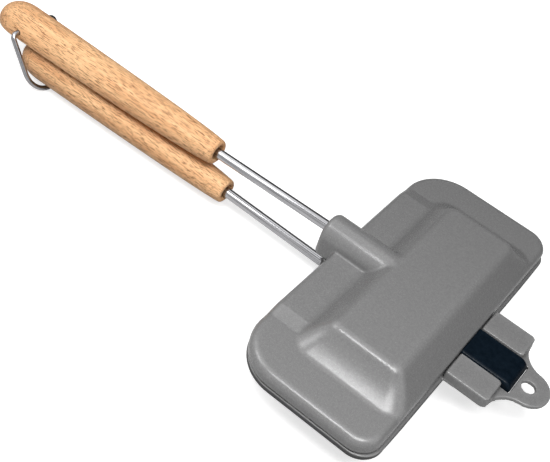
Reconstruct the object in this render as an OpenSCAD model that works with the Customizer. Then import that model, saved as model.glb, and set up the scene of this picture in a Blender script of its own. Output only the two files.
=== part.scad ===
// Two-sided sandwich pan: two hinged cast halves, each on a steel rod with a wooden grip,
// and a wire loop that locks the grips together.
// X runs from the grips (-) to the hinge (+), Y along the plates, Z up.
// The origin is on the lower dome's flat face, under the middle of the plates.

/* [Plates] */
// Length of each plate across the handles
plate_len = 165; // [150:1:190]
// Width of each plate in line with the handles
plate_w = 71; // [66:0.2:84]
// Radius of the plate's corners in plan on the grips' side
back_corner_r = 22; // [14:0.5:25]
// Radius of the plate's corners in plan on the hinge's side
front_corner_r = 11; // [8:0.5:16]
// Thickness of the cast wall
wall = 3.2; // [2.6:0.1:3.8]
// Width of the rim at the seam
rim_w = 3.6; // [3.2:0.1:4.4]
// Width of the rim at the hinge side
front_rim_w = 5.6; // [5.2:0.1:7]
// Height of the upper flange above the seam
flange_h = 7.1; // [6:0.1:8]
// Depth of the lower flange below the seam
lower_flange_h = 5; // [4.6:0.1:6]
// Radius along the upper flange's outer edge
edge_r = 3.6; // [1.5:0.1:4]
// Radius along the lower flange's outer edge
lower_edge_r = 2.5; // [1:0.1:3]
// How far the lower plate stands out past the upper one at the hinge side
lower_front_out = 1.2; // [0.6:0.1:1.6]
// Rise of the pad along the middle of each back flange
pad_rise = 1.1; // [0.5:0.1:2]
// Length of the raised pad
pad_len = 100.3; // [80:0.1:106]
// Length of the ramp at each end of the pad
ramp_len = 6.5; // [3:0.1:9]
// Radius along the pad's outer edge
pad_edge_r = 3.6; // [2:0.1:5]
// Gap between the two rims when closed
seam_gap = 0.8; // [0.4:0.1:1.2]

/* [Dome] */
// Height of the dome above the seam
dome_h = 18.5; // [17:0.1:23]
// Width of the dome's flat face
dome_top_w = 32.9; // [26:0.1:36]
// Length of the dome's flat face
dome_top_len = 101.8; // [80:0.1:110]
// Slope of the dome's walls from upright, in degrees
dome_draft = 43; // [32:1:45]
// Radius along the dome's upper edges
dome_edge_r = 4; // [2:0.5:6]
// Radius of the dome's corners at its foot
dome_corner_r = 9; // [5:0.5:12]
// Height above the seam at which the upper dome's hinge-side wall starts
front_lip_h = 6.2; // [5.8:0.1:6.8]
// Radius of the corners of the food space's ceiling
space_corner_r = 1; // [0.5:0.5:4]

/* [Bosses] */
// Radius of the boss round each rod
boss_r = 8.3; // [7.8:0.1:8.8]
// How far the upper boss stands out behind the plates
boss_out = 9.3; // [8:0.1:12]
// How far the lower boss stands out behind the plates
lower_boss_out = 4.5; // [4:0.1:7]
// Radius round the end of each boss
boss_end_r = 3; // [1.5:0.5:7.5]
// Width that the boss's foot adds on each side
foot_w = 1.3; // [0.5:0.1:3]
// Height of the foot above the pad
foot_h = 0.6; // [0.3:0.1:1.5]
// Drop of the boss's top below the dome's flat face
boss_drop = 0.1; // [0.1:0.1:1]

/* [Rods] */
// Diameter of the rods
rod_d = 5; // [4:0.1:6]
// Height of the upper rod above the seam where it leaves its boss
upper_rod_z = 10.7; // [10.2:0.1:11.2]
// Depth of the lower rod below the seam where it leaves its boss
lower_rod_z = 10.9; // [10.2:0.1:11.2]
// Angle at which the upper rod comes down towards the grips
upper_rod_tilt = 2; // [0.5:0.1:2.2]
// Angle at which the lower rod comes up towards the grips
lower_rod_tilt = 0.5; // [0:0.1:0.8]
// Length of rod inside each boss
rod_in_boss = 24; // [16:0.5:26]
// Diameter of the screw that locks the rod
screw_d = 4; // [3:0.5:5]
// Distance from the boss's end to that screw
screw_inset = 5; // [4.5:0.1:5.2]
// Depth of the screw's head below the seam face
screw_recess = 1; // [0.5:0.1:2]
// Clearance between the screw's end and the rod
screw_gap = 0.1; // [0.1:0.05:0.3]
// Width of the screw's hexagon socket across its corners
socket_w = 2.2; // [1.6:0.1:2.6]
// Depth of that socket
socket_depth = 2.4; // [1:0.1:4]

/* [Grips] */
// Diameter of the grips at their front end
grip_front_d = 12; // [11.5:0.1:14]
// Largest diameter of the upper grip
upper_grip_d = 22.4; // [20:0.1:24]
// Largest diameter of the lower grip
lower_grip_d = 21.8; // [19:0.1:22.4]
// Length of the upper grip
upper_grip_len = 144.5; // [120:0.5:170]
// Length of the lower grip
lower_grip_len = 136.5; // [118:0.5:142]
// Bare rod between the upper boss and its grip
upper_rod_bare = 65.3; // [50:0.1:90]
// Bare rod between the lower boss and its grip
lower_rod_bare = 60.4; // [46:0.1:66]
// Length of the rounded far end of the upper grip
upper_end_len = 15.5; // [10:0.5:20]
// Length of the rounded far end of the lower grip
lower_end_len = 16; // [8:0.5:18]
// Height above the seam of the flat under the upper grip
grip_flat_z = 2.6; // [2.4:0.1:4]
// Gap between the two grips when closed
grip_gap = 0.4; // [0.3:0.1:0.8]
// Diameter of the recess at the front of each grip
recess_d = 7.6; // [7:0.1:9]
// Depth of that recess
recess_depth = 6; // [3:0.5:12]
// Length of the threaded insert behind the recess
insert_len = 25; // [15:1:40]
// Length of rod beyond the threaded insert
rod_past_insert = 4; // [1:0.5:10]
// Bevel round the grips' front end
front_bevel = 0.8; // [0.3:0.1:1.5]
// How soon the upper grip widens behind its front end: 1 is a straight cone, less is sooner
upper_flare_power = 0.55; // [0.4:0.01:1]
// How soon the lower grip widens behind its front end
lower_flare_power = 0.62; // [0.4:0.01:1]
// Bluntness of the upper grip's far end: 2 is an ellipse, more is blunter
upper_end_power = 2.2; // [2:0.1:4]
// Bluntness of the lower grip's far end
lower_end_power = 2.4; // [2:0.1:4]

/* [Hinge] */
// Thickness above the seam of the two hinge blocks
block_h = 4.6; // [4.4:0.1:5]
// Depth of the blocks below the seam
block_depth = 1.2; // [1.2:0.1:1.8]
// Length of the blocks from the plate to their end
block_len = 21.5; // [20:0.1:26]
// Width over both blocks
blocks_w = 47.2; // [42:0.2:54]
// Width of the slot between the blocks
slot_w = 19.2; // [19.2:0.2:22]
// Radius of the blocks' outer corners
block_r = 2; // [1:0.5:4]
// Narrowing of each block's outer side towards its bottom
block_taper = 0.5; // [0:0.1:1.5]
// Depth of the rib under each block
rib_h = 3; // [1:0.1:3.2]
// Distance of that rib from the block's sides
rib_inset = 3.5; // [1:0.1:4]
// Diameter of the hinge pin
pin_d = 3; // [2.4:0.1:3.4]
// Distance from the plate's edge to the hinge pin
pin_x = 15.8; // [15:0.1:16.2]
// Height of the hinge pin above the seam
pin_z = 1.7; // [1.4:0.1:1.9]
// Metal left at the blind end of the pin's bore
pin_skin = 4.7; // [1:0.1:8]
// Depth of the pin's other end below the block's side
pin_inset = 0.6; // [0.5:0.1:1.5]
// Clearance between the upper plate and the blocks as it swings past them
block_clear = 0.3; // [0.3:0.1:0.6]
// Width of the black tongue
tongue_w = 18.4; // [16:0.2:18.6]
// Radius along the tongue's upper edges
tongue_edge_r = 1.5; // [0.5:0.5:2]
// Reach of the tongue's end beyond the hinge pin
tongue_reach = 10; // [9:0.1:10.4]
// how far its end hangs below the tab
tongue_drop = 0.5; // [0.3:0.1:1]
// round of its end, seen from the side
nose_r = 4.3; // [3:0.1:4.3]
// how far that round stays inside the end's swing
nose_back = 0.15; // [0.1:0.05:0.3]
// Clearance between the tongue's end and the end of its slot as it swings
slot_clear = 0.4; // [0.3:0.1:0.8]
// Height of the tang inside the upper plate's rim
tang_h = 4.2; // [3:0.1:4.4]
// Metal left between the tang and the food space
tang_skin = 1; // [0.6:0.1:1.5]
// Diameter of the grooved pins through the tang
tang_pin_d = 2; // [1.5:0.1:2.4]
// Distance between the two grooved pins
tang_pin_pitch = 9; // [6:0.5:11]
// Length of the grooved pins above the tang
tang_pin_grip = 2.4; // [1.5:0.1:2.6]

/* [Hanging tab] */
// Radius of the tab's round end
tab_r = 10; // [8:0.1:12]
// Distance from the blocks' end to the hole
tab_reach = 9.5; // [9.4:0.1:14]
// Thickness of the tab
tab_t = 2.1; // [1.8:0.1:2.1]
// Height of the tab's upper face above the seam
tab_z = 1; // [1:0.1:1.4]
// Radius of the hanging hole
hole_r = 3.25; // [2.5:0.05:4]
// Radius of the hollow between the blocks and the tab's end
tab_fillet_r = 12; // [8:0.5:12]

/* [Latch] */
// Diameter of the latch wire
wire_d = 2.6; // [2:0.1:3.2]
// Distance of the latch's hole from the upper grip's far end
latch_inset = 19.8; // [16:0.1:24]
// Height of the latch's hole above the seam
latch_z = 6.6; // [5.6:0.1:7.5]
// Angle at which the latch leans towards the plates
latch_lean = 30.5; // [22:0.5:33]
// Clearance between the upper grip and each leg of the latch
leg_gap = 1.4; // [0.5:0.1:2]
// Clearance between the lower grip and the latch's bar
bar_gap = 0.3; // [0.2:0.1:1]
// Radius of the latch's upper bends, at the middle of the wire
upper_bend_r = 2.5; // [1.7:0.1:4]
// Radius of the latch's lower bends, at the middle of the wire
lower_bend_r = 12; // [6:0.1:12.4]
// Gap between the wire's two ends inside the upper grip
stub_gap = 4; // [1:0.5:8]

/* [Hidden] */
$fn = 64;
HULL_FN = 32;
ARC_STEP = 15;
GRIP_RINGS = 20;
RING_SPREAD = 1.5;
END_STEP = 6;
CUT = 1;
SLICE = 0.1;
FAR = 2 * (plate_len + upper_rod_bare + upper_grip_len);
run_fit = 0.05;
close_fit = 0.02;
seam_z = dome_h;
half_gap = seam_gap / 2;
x_back = -plate_w / 2;
x_front = plate_w / 2;

// dome
slope = tan(dome_draft);
top_front = x_front - (dome_h - front_lip_h) * slope;
top_back = top_front - dome_top_w;
ball_inset = dome_edge_r * tan((90 - dome_draft) / 2);
skin_shift = wall * (sqrt(1 + slope * slope) - slope);

// bosses and rods
boss_back = x_back - boss_out;
lower_boss_back = x_back - lower_boss_out;
boss_z = dome_h - boss_r - boss_drop;
rod_r = rod_d / 2;
boss_front = top_back + ball_inset;
rod_in_grip = recess_depth + insert_len + rod_past_insert;

// hinge
axis_x = x_front + pin_x;
pin_r = pin_d / 2;
knuckle_r = block_h - pin_z;
block_start = axis_x - sqrt(pow(pin_x - block_clear, 2) - pow(knuckle_r, 2));
block_end = x_front + block_len;
slot_start = x_front + lower_front_out;
tongue_under = tab_z - tab_t - tongue_drop;
slot_end = axis_x + tongue_reach + slot_clear;
nose_x = axis_x + tongue_reach - nose_r - nose_back;
nose_z = block_h - nose_r;
tang_start = x_front - front_rim_w + tang_skin;
tang_pin_x = (tang_start + x_front) / 2;
tang_pin_top = tang_h + tang_pin_grip;
pin_near = blocks_w / 2 - pin_skin;
pin_far = blocks_w / 2 - pin_inset;
hole_x = block_end + tab_reach;

// latch
latch_x = boss_back - (upper_rod_bare + upper_grip_len - latch_inset) * cos(upper_rod_tilt);
wire_r = wire_d / 2;
leg_y = upper_grip_d / 2 + leg_gap + wire_r;
bar_under = flare(lower_grip_len - lower_end_len, lower_grip_len, lower_grip_d, lower_flare_power)
          + wire_r + bar_gap;
latch_drop = (latch_z + lower_rod_z + (latch_x - lower_boss_back) * tan(lower_rod_tilt) + bar_under)
           / (cos(latch_lean) - sin(latch_lean) * tan(lower_rod_tilt));

// radius of a grip at distance t from its front end
function flare(t, len, d, power) =
    grip_front_d / 2 + (d - grip_front_d) / 2 * pow(t / len, power);
// share of that radius left on the rounded far end
function far_round(t, len, end_len, power) =
    t < len - end_len ? 1 : pow(max(0, 1 - pow((t - len + end_len) / end_len, power)), 1 / power);

// ---- plates, drawn with the seam at z = 0 and the dome upwards ----
module rounded_edge(r, h, e) {
    polygon(concat([[0, 0], [r, 0]],
                   [for (a = [0 : ARC_STEP : 90]) [r - e + e * cos(a), h - e + e * sin(a)]],
                   [[0, h]]));
}

// h is the flange's height, e its edge radius and out how far its hinge side stands out
module flange(h, e, out) {
    hull()
        for (s = [-1, 1]) {
            translate([x_back + back_corner_r, s * (plate_len / 2 - back_corner_r), 0])
                rotate_extrude($fn = HULL_FN)
                    rounded_edge(back_corner_r, h, e);
            translate([x_front + out - front_corner_r, s * (plate_len / 2 - front_corner_r), 0])
                rotate_extrude($fn = HULL_FN)
                    rounded_edge(front_corner_r, h, e);
        }
}

module pad_slice(width, h) {
    rotate([90, 0, 0])
        linear_extrude(SLICE, center = true)
            mirror([1, 0])
                rounded_edge(width, h, pad_edge_r);
}

module pad(h) {
    hull()
        for (s = [-1, 1]) {
            translate([0, s * pad_len / 2, 0])
                pad_slice(-x_back, h + pad_rise);
            translate([0, s * (pad_len / 2 + 2 * ramp_len), 0])
                pad_slice(-x_back - pad_rise, h - pad_rise);
        }
}

module dome(h, e, out) {
    lip = front_lip_h - out / slope;
    base = min(h - e + SLICE, lip - CUT);
    run = (dome_h - lip) * slope;
    hull() {
        for (x = [top_back + ball_inset, top_front - ball_inset], s = [-1, 1])
            translate([x, s * (dome_top_len / 2 - ball_inset), dome_h - dome_edge_r])
                sphere(dome_edge_r, $fn = HULL_FN);
        for (x = [top_back - run + dome_corner_r, x_front + out - dome_corner_r], s = [-1, 1])
            translate([x, s * (dome_top_len / 2 + run - dome_corner_r), base])
                cylinder(r = dome_corner_r, h = lip - base, $fn = HULL_FN);
    }
}

module boss(back, h) {
    hull() {
        translate([back, 0, boss_z])
            rotate([0, 90, 0])
                rotate_extrude($fn = HULL_FN)
                    mirror([0, 1])
                        translate([0, back - boss_front])
                            rounded_edge(boss_r, boss_front - back, boss_end_r);
        for (s = [-1, 1]) {
            translate([back + boss_end_r, s * (boss_r - boss_end_r), 0])
                cylinder(r = boss_end_r, h = CUT, $fn = HULL_FN);
            translate([boss_front - CUT, s * (boss_r - CUT), 0])
                cylinder(r = CUT, h = CUT, $fn = HULL_FN);
        }
    }
    translate([x_back + edge_r / 2, -boss_r - foot_w, 0])
        cube([top_back - x_back - edge_r, 2 * (boss_r + foot_w), h + pad_rise + foot_h]);
}

module food_space(h) {
    inner_len = dome_top_len / 2 - skin_shift;
    inner_top = dome_h - wall;
    run = (inner_top - h + wall) * slope;
    intersection() {
        translate([x_back + rim_w, -plate_len / 2 + rim_w, -CUT])
            cube([plate_w - rim_w - front_rim_w, plate_len - 2 * rim_w, dome_h]);
        union() {
            hull()
                for (s = [-1, 1]) {
                    translate([x_back + back_corner_r, s * (plate_len / 2 - back_corner_r), -CUT])
                        cylinder(r = back_corner_r - rim_w, h = h - wall + CUT, $fn = HULL_FN);
                    translate([x_front - front_corner_r, s * (plate_len / 2 - front_corner_r), -CUT])
                        cylinder(r = front_corner_r - rim_w, h = h - wall + CUT, $fn = HULL_FN);
                }
            hull() {
                for (x = [top_back + skin_shift + space_corner_r, top_front - skin_shift - space_corner_r],
                     s = [-1, 1])
                    translate([x, s * (inner_len - space_corner_r), inner_top - SLICE])
                        cylinder(r = space_corner_r, h = SLICE, $fn = HULL_FN);
                for (x = [top_back + skin_shift - run + dome_corner_r,
                          top_front - skin_shift + run - dome_corner_r], s = [-1, 1])
                    translate([x, s * (inner_len + run - dome_corner_r), h - wall - SLICE])
                        cylinder(r = dome_corner_r, h = SLICE, $fn = HULL_FN);
            }
        }
    }
}

// the bore for a rod that leaves the boss at height z and rises towards the dome
module rod_bore(back, z, tilt) {
    translate([back, 0, z])
        rotate([0, -tilt, 0])
            translate([-CUT, 0, 0])
                rotate([0, 90, 0])
                    cylinder(r = rod_r + close_fit, h = rod_in_boss + CUT);
}

module half_plate(h, e, out, back, z, tilt) {
    difference() {
        union() {
            flange(h, e, out);
            pad(h);
            dome(h, e, out);
            boss(back, h);
        }
        food_space(h);
        rod_bore(back, z, tilt);
        translate([back + screw_inset, 0, -CUT])
            cylinder(d = screw_d + 2 * close_fit, h = z + CUT);
        translate([-FAR / 2, -FAR / 2, -FAR])
            cube([FAR, FAR, FAR + half_gap]);
    }
}

module upper_plate() {
    color([0.5, 0.5, 0.5])
        translate([0, 0, seam_z])
            difference() {
                half_plate(flange_h, edge_r, 0, boss_back, upper_rod_z, upper_rod_tilt);
                translate([tang_start, -tongue_w / 2 - close_fit, -CUT])
                    cube([x_front - tang_start + CUT, tongue_w + 2 * close_fit, tang_h + CUT]);
                for (s = [-1, 1])
                    translate([tang_pin_x, s * tang_pin_pitch / 2, 0])
                        cylinder(d = tang_pin_d + 2 * close_fit, h = tang_pin_top);
            }
}

// ---- hinge blocks and hanging tab, cast on the lower plate ----
module blocks_plan(start, slot_from) {
    half = blocks_w / 2;
    difference() {
        union() {
            translate([start, -half])
                square([block_end - start - block_r, blocks_w]);
            translate([start, -half + block_r])
                square([block_end - start, blocks_w - 2 * block_r]);
            for (s = [-1, 1])
                translate([block_end - block_r, s * (half - block_r)])
                    circle(block_r);
        }
        translate([slot_from, -slot_w / 2])
            square([block_end - slot_from + CUT, slot_w]);
    }
}

// rib under one block, from the plate out to the block's end
module block_rib() {
    width = (blocks_w - slot_w) / 2 - 2 * rib_inset;
    rotate([90, 0, 0])
        linear_extrude(width, center = true)
            polygon([[x_front, SLICE - block_depth], [block_end - block_r, SLICE - block_depth],
                     [x_front, -block_depth - rib_h]]);
}

module blocks() {
    half = blocks_w / 2;
    intersection() {
        union() {
            translate([0, 0, -block_depth])
                linear_extrude(block_depth - half_gap)
                    blocks_plan(x_front - front_rim_w / 2, slot_start);
            translate([0, 0, -half_gap])
                linear_extrude(block_h + half_gap)
                    blocks_plan(block_start, x_front);
        }
        rotate([90, 0, 90])
            linear_extrude(block_end + CUT)
                polygon([[-half + block_taper, -block_depth], [-half, 0], [-half, block_h],
                         [half, block_h], [half, 0], [half - block_taper, -block_depth]]);
    }
    for (s = [-1, 1])
        translate([0, s * (blocks_w + slot_w) / 4, 0])
            block_rib();
}

module tab() {
    neck_y = sqrt(pow(tab_r + tab_fillet_r, 2) - pow(tab_reach - tab_fillet_r, 2));
    lean = atan2(neck_y, tab_fillet_r - tab_reach);
    translate([0, 0, tab_z - tab_t])
        linear_extrude(tab_t)
            difference() {
                union() {
                    translate([hole_x, 0])
                        circle(tab_r);
                    difference() {
                        polygon([[block_end - block_r - CUT, -neck_y], [block_end, -neck_y],
                                 [hole_x + tab_r * cos(lean), -tab_r * sin(lean)],
                                 [hole_x + tab_r * cos(lean), tab_r * sin(lean)],
                                 [block_end, neck_y], [block_end - block_r - CUT, neck_y]]);
                        for (s = [-1, 1])
                            translate([block_end + tab_fillet_r, s * neck_y])
                                circle(tab_fillet_r);
                    }
                }
                translate([hole_x, 0])
                    circle(hole_r);
                translate([x_front, -slot_w / 2])
                    square([slot_end - x_front, slot_w]);
            }
}

module lower_plate() {
    color([0.47, 0.47, 0.47])
        translate([0, 0, seam_z])
            difference() {
                union() {
                    mirror([0, 0, 1])
                        half_plate(lower_flange_h, lower_edge_r, lower_front_out, lower_boss_back,
                                   lower_rod_z, lower_rod_tilt);
                    blocks();
                    tab();
                }
                translate([axis_x, -pin_near, pin_z])
                    rotate([-90, 0, 0])
                        cylinder(r = pin_r, h = blocks_w);
            }
}

// ---- hinge ----
module tongue_side() {
    difference() {
        union() {
            translate([tang_start, half_gap])
                square([x_front - tang_start, tang_h - half_gap]);
            translate([x_front, half_gap])
                square([pin_x, block_h - half_gap]);
            translate([axis_x, pin_z])
                circle(knuckle_r);
            intersection() {
                translate([axis_x, pin_z])
                    circle(tongue_reach);
                union() {
                    translate([axis_x, tongue_under])
                        square([nose_x - axis_x, block_h - tongue_under]);
                    translate([axis_x, tongue_under])
                        square([nose_x + nose_r - axis_x, nose_z - tongue_under]);
                    translate([nose_x, nose_z])
                        circle(nose_r);
                }
            }
        }
        translate([axis_x, pin_z])
            circle(pin_r + run_fit);
    }
}

module hinge_tongue() {
    half = tongue_w / 2;
    color([0.07, 0.08, 0.1])
        translate([0, 0, seam_z])
            difference() {
                intersection() {
                    rotate([90, 0, 0])
                        linear_extrude(tongue_w, center = true)
                            tongue_side();
                    rotate([90, 0, 90])
                        linear_extrude(FAR)
                            union() {
                                translate([-half, -FAR])
                                    square([tongue_w, FAR + block_h - tongue_edge_r]);
                                translate([-half + tongue_edge_r, 0])
                                    square([tongue_w - 2 * tongue_edge_r, block_h]);
                                for (s = [-1, 1])
                                    translate([s * (half - tongue_edge_r), block_h - tongue_edge_r])
                                        circle(tongue_edge_r);
                            }
                }
                for (s = [-1, 1])
                    translate([tang_pin_x, s * tang_pin_pitch / 2, 0])
                        cylinder(d = tang_pin_d + 2 * close_fit, h = tang_pin_top);
            }
}

module tongue_pins() {
    color([0.7, 0.7, 0.72])
        for (s = [-1, 1])
            translate([tang_pin_x, s * tang_pin_pitch / 2, seam_z + half_gap])
                cylinder(d = tang_pin_d, h = tang_pin_top - half_gap);
}

module hinge_pin() {
    color([0.72, 0.72, 0.74])
        translate([axis_x, -pin_near, seam_z + pin_z])
            rotate([-90, 0, 0])
                cylinder(r = pin_r, h = pin_near + pin_far);
}

// ---- rods, on the line from the boss to the grip ----
// moves its children so that -X runs along the rod towards the grip
module along_upper_rod() {
    translate([boss_back, 0, seam_z + upper_rod_z])
        rotate([0, -upper_rod_tilt, 0])
            children();
}

module along_lower_rod() {
    translate([lower_boss_back, 0, seam_z - lower_rod_z])
        rotate([0, lower_rod_tilt, 0])
            children();
}

module rod(bare) {
    translate([rod_in_boss, 0, 0])
        rotate([0, -90, 0])
            cylinder(r = rod_r, h = rod_in_boss + bare + rod_in_grip);
}

module upper_rod() {
    color([0.75, 0.75, 0.77])
        along_upper_rod()
            rod(upper_rod_bare);
}

module lower_rod() {
    color([0.75, 0.75, 0.77])
        along_lower_rod()
            rod(lower_rod_bare);
}

// grub screw from the seam up to the rod, with a hexagon socket
module grub_screw(rod_under) {
    length = rod_under - screw_recess;
    difference() {
        translate([0, 0, screw_recess])
            cylinder(d = screw_d, h = length);
        translate([0, 0, screw_recess - CUT])
            cylinder(d = socket_w, h = socket_depth + CUT, $fn = 6);
    }
}

module upper_rod_screw() {
    color([0.3, 0.3, 0.32])
        translate([boss_back + screw_inset, 0, seam_z])
            grub_screw(upper_rod_z + screw_inset * tan(upper_rod_tilt) - rod_r - screw_gap);
}

module lower_rod_screw() {
    color([0.3, 0.3, 0.32])
        translate([lower_boss_back + screw_inset, 0, seam_z])
            mirror([0, 0, 1])
                grub_screw(lower_rod_z + screw_inset * tan(lower_rod_tilt) - rod_r - screw_gap);
}

// ---- grips ----
module grip_body(len, d, flare_power, end_len, end_power) {
    straight = len - end_len;
    difference() {
        rotate([0, -90, 0])
            rotate_extrude()
                polygon(concat(
                    [[0, 0], [grip_front_d / 2 - front_bevel, 0], [grip_front_d / 2, front_bevel]],
                    [for (i = [2 : GRIP_RINGS]) let (t = straight * pow(i / GRIP_RINGS, RING_SPREAD))
                        [flare(t, len, d, flare_power), t]],
                    [for (a = [END_STEP : END_STEP : 90 - END_STEP]) let (t = straight + end_len * sin(a))
                        [flare(t, len, d, flare_power) * far_round(t, len, end_len, end_power), t]],
                    [[0, len]]));
        translate([CUT, 0, 0])
            rotate([0, -90, 0])
                cylinder(d = recess_d, h = recess_depth + insert_len + CUT);
        rotate([0, -90, 0])
            cylinder(r = rod_r + close_fit, h = rod_in_grip + CUT);
    }
}

module grip_insert() {
    rotate([0, -90, 0])
        translate([0, 0, recess_depth])
            difference() {
                cylinder(d = recess_d, h = insert_len);
                translate([0, 0, -CUT])
                    cylinder(r = rod_r + close_fit, h = insert_len + 2 * CUT);
            }
}

module upper_grip() {
    color([0.85, 0.63, 0.42])
        difference() {
            along_upper_rod()
                translate([-upper_rod_bare, 0, 0])
                    grip_body(upper_grip_len, upper_grip_d, upper_flare_power,
                              upper_end_len, upper_end_power);
            translate([-FAR / 2, -FAR / 2, seam_z + grip_flat_z - FAR])
                cube(FAR);
            translate([latch_x, -upper_grip_d, seam_z + latch_z])
                rotate([-90, 0, 0])
                    cylinder(r = wire_r + run_fit, h = 2 * upper_grip_d);
        }
}

module lower_grip() {
    color([0.83, 0.6, 0.4])
        difference() {
            along_lower_rod()
                translate([-lower_rod_bare, 0, 0])
                    grip_body(lower_grip_len, lower_grip_d, lower_flare_power,
                              lower_end_len, lower_end_power);
            translate([-FAR / 2, -FAR / 2, seam_z + grip_flat_z - grip_gap])
                cube(FAR);
        }
}

module upper_grip_insert() {
    color([0.72, 0.72, 0.7])
        along_upper_rod()
            translate([-upper_rod_bare, 0, 0])
                grip_insert();
}

module lower_grip_insert() {
    color([0.72, 0.72, 0.7])
        along_lower_rod()
            translate([-lower_rod_bare, 0, 0])
                grip_insert();
}

// ---- latch: one length of wire, drawn flat with its hole's axis on X ----
module wire_bend(r) {
    rotate_extrude(angle = 90)
        translate([r, 0])
            circle(wire_r);
}

module latch_side() {
    translate([stub_gap / 2, 0, 0])
        rotate([0, 90, 0])
            cylinder(r = wire_r, h = leg_y - upper_bend_r - stub_gap / 2);
    translate([leg_y - upper_bend_r, -upper_bend_r, 0])
        wire_bend(upper_bend_r);
    translate([leg_y, -upper_bend_r, 0])
        rotate([90, 0, 0])
            cylinder(r = wire_r, h = latch_drop - upper_bend_r - lower_bend_r);
    translate([leg_y - lower_bend_r, lower_bend_r - latch_drop, 0])
        rotate([0, 0, -90])
            wire_bend(lower_bend_r);
}

module latch_loop() {
    bar = leg_y - lower_bend_r;
    color([0.68, 0.68, 0.7])
        translate([latch_x, 0, seam_z + latch_z])
            rotate([0, -latch_lean, 0])
                rotate([90, 0, 90]) {
                    latch_side();
                    mirror([1, 0, 0])
                        latch_side();
                    translate([-bar, -latch_drop, 0])
                        rotate([0, 90, 0])
                            cylinder(r = wire_r, h = 2 * bar);
                }
}

upper_plate();
lower_plate();
hinge_tongue();
tongue_pins();
hinge_pin();
upper_rod();
lower_rod();
upper_rod_screw();
lower_rod_screw();
upper_grip();
lower_grip();
upper_grip_insert();
lower_grip_insert();
latch_loop();
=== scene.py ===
import math
import bpy
import numpy as np
from mathutils import Matrix


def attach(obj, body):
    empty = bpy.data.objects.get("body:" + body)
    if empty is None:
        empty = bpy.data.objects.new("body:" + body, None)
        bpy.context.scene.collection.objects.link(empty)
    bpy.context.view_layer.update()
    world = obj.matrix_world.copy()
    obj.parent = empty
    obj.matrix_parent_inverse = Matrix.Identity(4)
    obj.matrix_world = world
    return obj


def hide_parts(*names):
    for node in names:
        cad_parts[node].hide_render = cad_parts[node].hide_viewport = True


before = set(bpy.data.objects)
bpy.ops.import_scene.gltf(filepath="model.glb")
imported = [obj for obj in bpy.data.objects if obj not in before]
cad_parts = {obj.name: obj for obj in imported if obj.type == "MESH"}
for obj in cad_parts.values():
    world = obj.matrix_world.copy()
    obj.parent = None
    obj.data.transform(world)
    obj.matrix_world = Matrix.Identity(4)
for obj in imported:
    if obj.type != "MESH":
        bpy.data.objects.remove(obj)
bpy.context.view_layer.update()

MM = 0.001
scene = bpy.context.scene
scene.view_settings.view_transform = "Standard"

# ---- studio: the camera that took the picture, a white sweep and soft boxes ----
# The camera stands off the near hinge corner and looks down at 45 degrees across the handles.
# Lengths are in millimetres, and the seam between the two halves lies SEAM above the dome
# that the closed pan rests on.
SEAM = 18.5
CAMERA_AT = (73.328, -308.258, 326.603 + SEAM)
FOCAL_PIXELS, PICTURE_WIDTH, SENSOR = 1007.44, 550, 36
RIGHT, DOWN, AHEAD = ((0.774766, 0.594857, 0.214199), (0.55789, -0.483831, -0.674287),
                      (-0.29747, 0.641913, -0.706726))

camera = bpy.data.objects.new("camera", bpy.data.cameras.new("camera"))
scene.collection.objects.link(camera)
camera.data.sensor_width = SENSOR
camera.data.lens = FOCAL_PIXELS / PICTURE_WIDTH * SENSOR
camera.matrix_world = Matrix.Translation([v * MM for v in CAMERA_AT]) @ Matrix(
    [(RIGHT[i], -DOWN[i], -AHEAD[i]) for i in range(3)]).to_4x4()
scene.camera = camera


def add(tree, kind, inputs=None, **settings):
    """Adds a node, sets its settings and fills or links its inputs."""
    made = tree.nodes.new(kind)
    for name, value in settings.items():
        setattr(made, name, value)
    for name, value in (inputs or {}).items():
        if isinstance(value, bpy.types.NodeSocket):
            tree.links.new(value, made.inputs[name])
        else:
            made.inputs[name].default_value = value
    return made


def grey(level):
    return (level, level, level, 1)


def white_to_the_eye(tree):
    """1 where the camera, a reflection or glass looks straight at the sweep, else 0."""
    path = add(tree, "ShaderNodeLightPath")
    eye = add(tree, "ShaderNodeMath", {0: path.outputs["Is Camera Ray"],
                                       1: path.outputs["Is Glossy Ray"]}, operation="MAXIMUM")
    return add(tree, "ShaderNodeMath", {0: eye.outputs[0],
                                        1: path.outputs["Is Transmission Ray"]},
               operation="MAXIMUM").outputs[0]


# how bright the air is, and how bright the room looks at points round it, in half turns
FILL = 0.14
SCREENS = ((0.0, 0.08), (0.29, 0.12), (0.36, 1.6), (0.5, 1.5), (0.65, 1.2), (0.68, 0.15),
           (0.72, 0.15), (0.76, 0.9), (1.0, 0.6))

world = bpy.data.worlds.new("studio")
world.use_nodes = True
scene.world = world
sky = world.node_tree
sky.nodes.clear()
fill = add(sky, "ShaderNodeBackground", {"Color": grey(1), "Strength": FILL})
# bright metal mirrors a white room with two dark screens, one far off and one by the camera
way = add(sky, "ShaderNodeSeparateXYZ", {0: add(sky, "ShaderNodeTexCoord").outputs["Generated"]})
turn = add(sky, "ShaderNodeMath", {0: way.outputs["Z"], 1: way.outputs["Y"]},
           operation="ARCTAN2")
half_turns = add(sky, "ShaderNodeMath", {0: turn.outputs[0], 1: math.pi}, operation="DIVIDE")
room = add(sky, "ShaderNodeValToRGB", {0: half_turns.outputs[0]})
while len(room.color_ramp.elements) < len(SCREENS):
    room.color_ramp.elements.new(0.5)
for stop, (where, level) in zip(room.color_ramp.elements, SCREENS):
    stop.position = where
    stop.color = grey(level)
sight = add(sky, "ShaderNodeLightPath").outputs["Is Camera Ray"]
shown = add(sky, "ShaderNodeMix", {0: sight, 6: room.outputs["Color"], 7: grey(1)},
            data_type="RGBA")
white = add(sky, "ShaderNodeBackground", {"Color": shown.outputs[2], "Strength": 1.0})
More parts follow.
